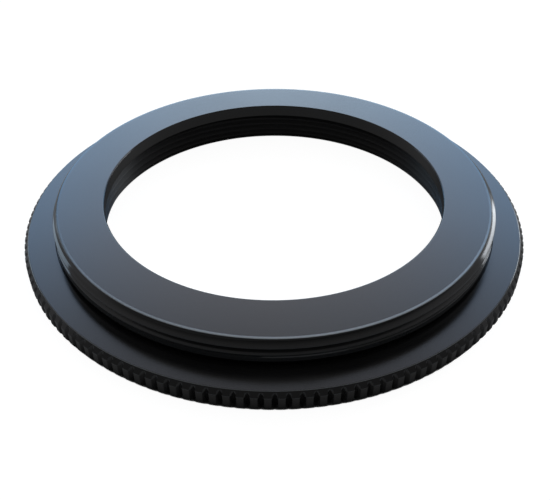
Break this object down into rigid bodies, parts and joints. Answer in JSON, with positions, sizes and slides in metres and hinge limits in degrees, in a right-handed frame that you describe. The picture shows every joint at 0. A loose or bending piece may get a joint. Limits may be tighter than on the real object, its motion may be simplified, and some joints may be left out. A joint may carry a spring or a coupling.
{
  "type": "lens adapter ring",
  "caption": "Turned black ring with a knurled flange: its male thread screws into a lens or holder, and its smaller female thread takes a smaller filter or accessory.",
  "frame": {"origin": "centre of the flange's bottom face, on the ring's axis", "axes": "+Z along the ring's axis, from the flange towards the male thread"},
  "size_m": [0.0524, 0.0524, 0.0047],
  "materials": {
    "anodised_aluminium": "satin black anodised, fine turned lay"
  },
  "bodies": {
    "root": {"adapter_ring": "anodised_aluminium"}
  },
  "joints": []
}
